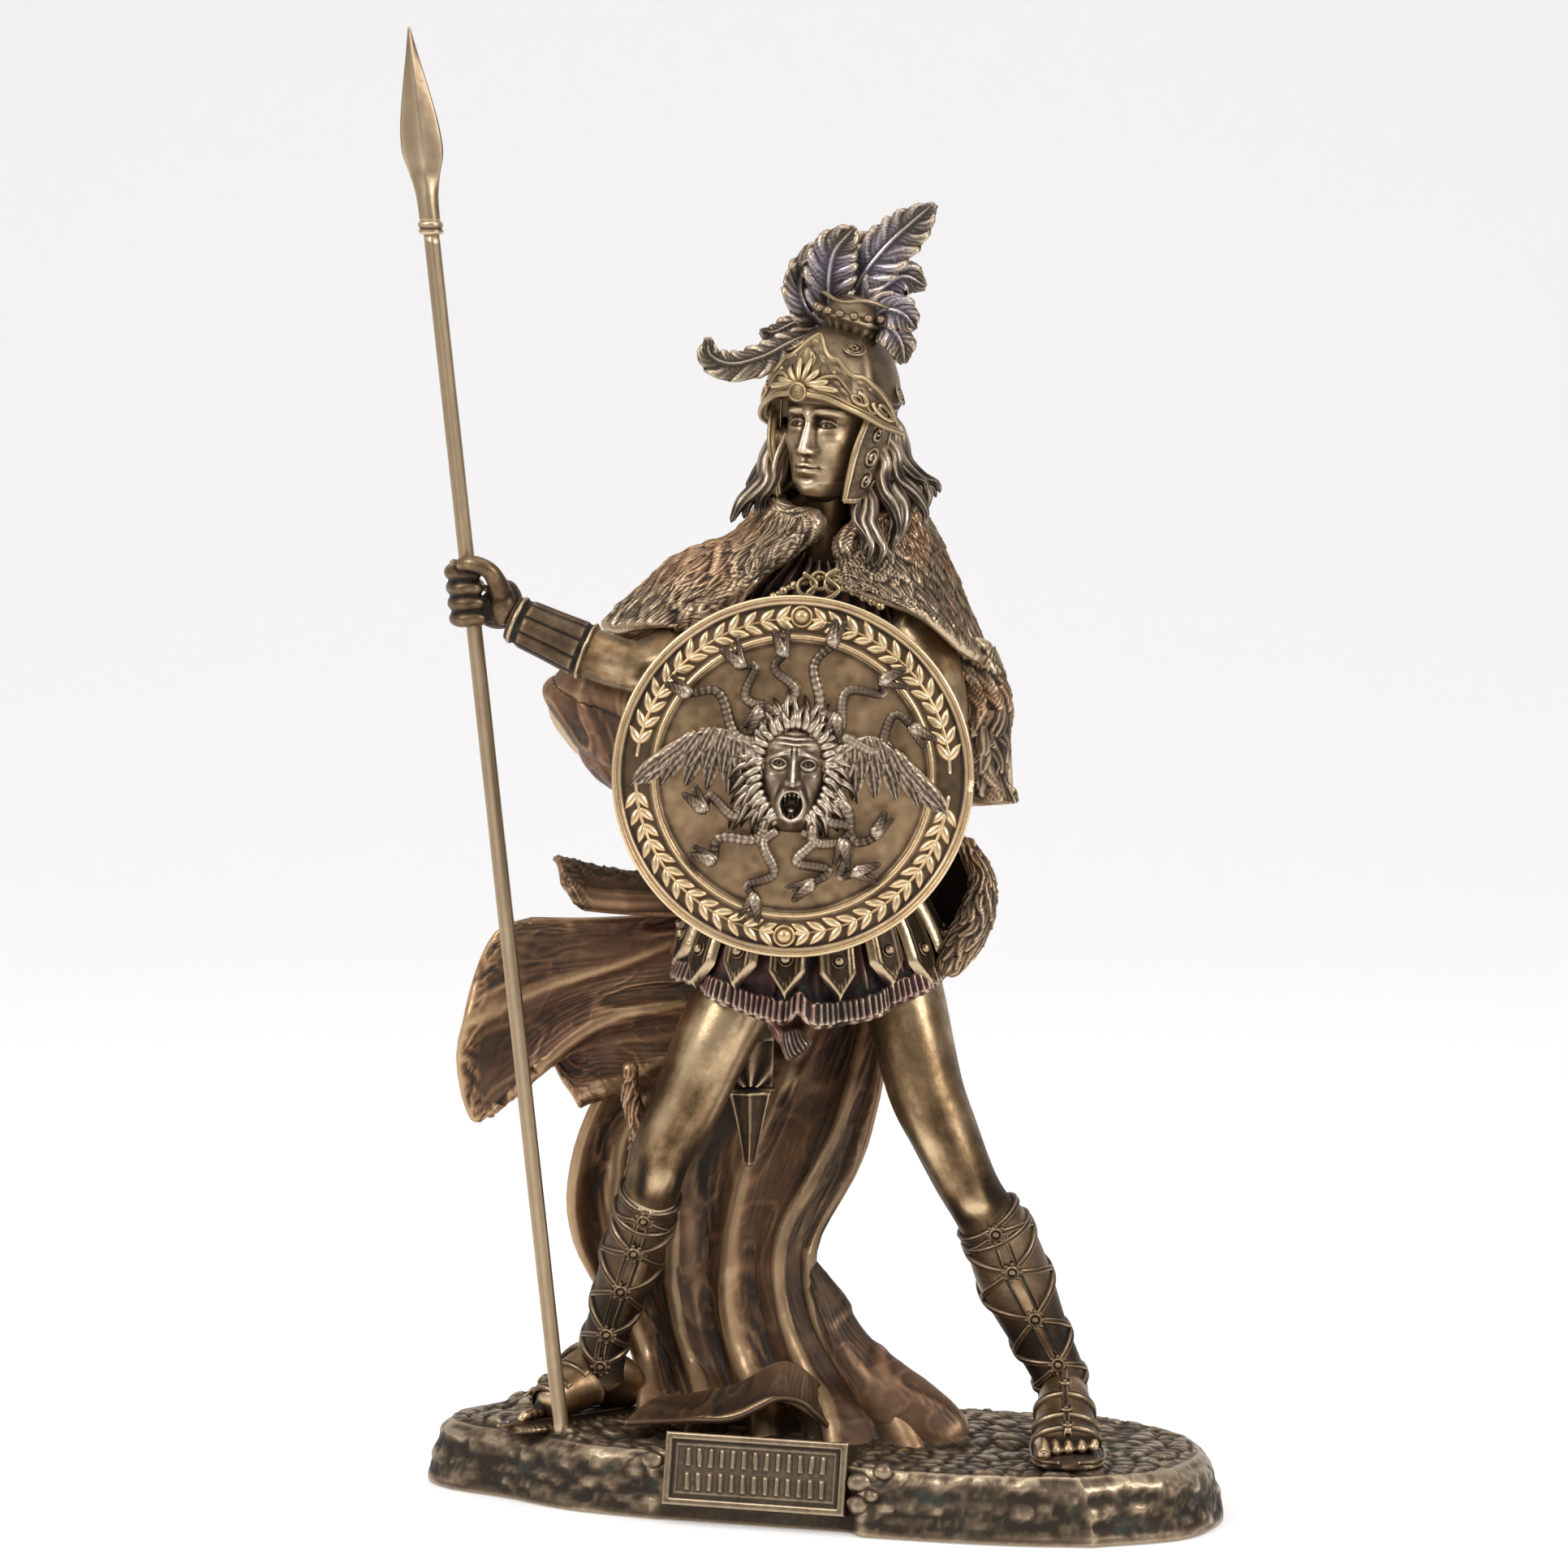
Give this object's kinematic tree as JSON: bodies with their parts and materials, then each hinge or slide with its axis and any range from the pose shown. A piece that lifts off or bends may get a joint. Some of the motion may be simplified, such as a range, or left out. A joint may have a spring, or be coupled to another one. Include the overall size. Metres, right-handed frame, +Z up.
{
  "type": "athena statue",
  "caption": "Cast figurine of a helmeted goddess with spear, round shield and wind-blown fur cloak, standing on a rocky plinth with a plain name plate.",
  "frame": {"origin": "on the plinth's flat underside, about the middle of it", "axes": "+Z up; +X along the plinth, to the viewer's right when the name plate is seen; -Y is the side with the name plate"},
  "size_m": [0.206, 0.1033, 0.36],
  "materials": {
    "antique_bronze": "cold-cast bronze, dark brown patina rubbed back to gold on the high parts, with red-brown cloak, maroon tunic and violet-grey plumes",
    "shield_bronze": "cold-cast bronze, brown field with pale gold rim, wreath and bosses",
    "spear_bronze": "pale satin bronze"
  },
  "bodies": {
    "root": {"figure_with_plinth": "antique_bronze", "shield": "shield_bronze", "spear": "spear_bronze"}
  },
  "joints": []
}
